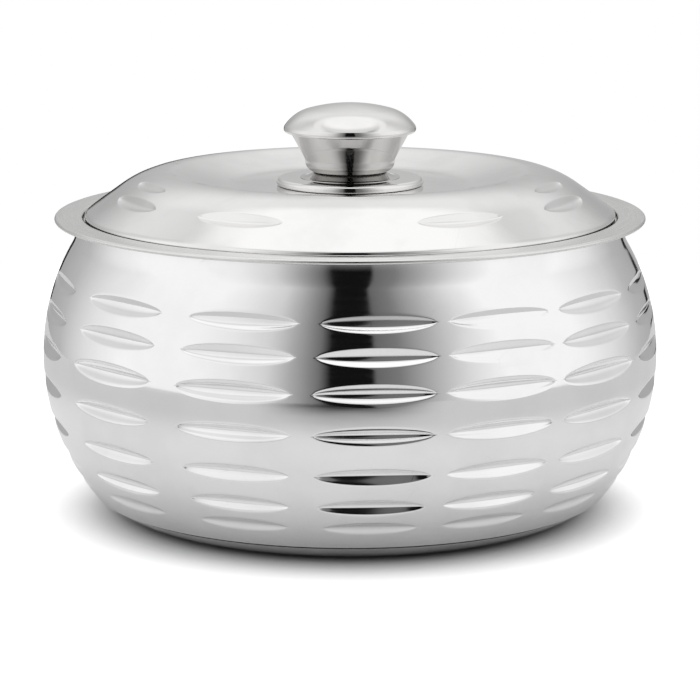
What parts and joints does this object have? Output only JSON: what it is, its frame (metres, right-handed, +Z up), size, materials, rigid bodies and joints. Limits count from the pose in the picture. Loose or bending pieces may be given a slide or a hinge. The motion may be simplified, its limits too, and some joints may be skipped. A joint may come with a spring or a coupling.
{
  "type": "insulated casserole",
  "caption": "Round double-walled steel bowl with a dimpled belly, a rolled rim, and a domed insulated lift-off lid with a flared knob.",
  "frame": {"origin": "centre of the base's flat face, on the table the casserole stands on", "axes": "+Z up along the axis that every round piece turns about; the front of the pictured view faces -Y, and +X is to its right"},
  "size_m": [0.2476, 0.2476, 0.164],
  "materials": {
    "polished_steel": "polished",
    "base_steel": "gloss",
    "satin_steel": "satin",
    "lid_steel": "satin",
    "knob_steel": "polished",
    "hardware_steel": "satin",
    "foam": "matte"
  },
  "bodies": {
    "casserole": {"outer_shell": "polished_steel", "base_cover": "base_steel", "inner_pan": "satin_steel", "body_insulation": "foam"},
    "lid": {"lid_cover": "lid_steel", "lid_liner": "satin_steel", "lid_insulation": "foam", "knob_escutcheon": "knob_steel", "knob_collar": "knob_steel", "knob_cup": "knob_steel", "knob_cap": "knob_steel", "knob_insert": "hardware_steel", "knob_screw": "hardware_steel", "flat_washer": "hardware_steel", "spring_washer": "hardware_steel", "backing_plate": "hardware_steel"}
  },
  "joints": [
    {"name": "lid_lift", "type": "slide", "parent": "casserole", "child": "lid", "axis": [0, 0, 1], "range_m": [0, 0.12]}
  ]
}
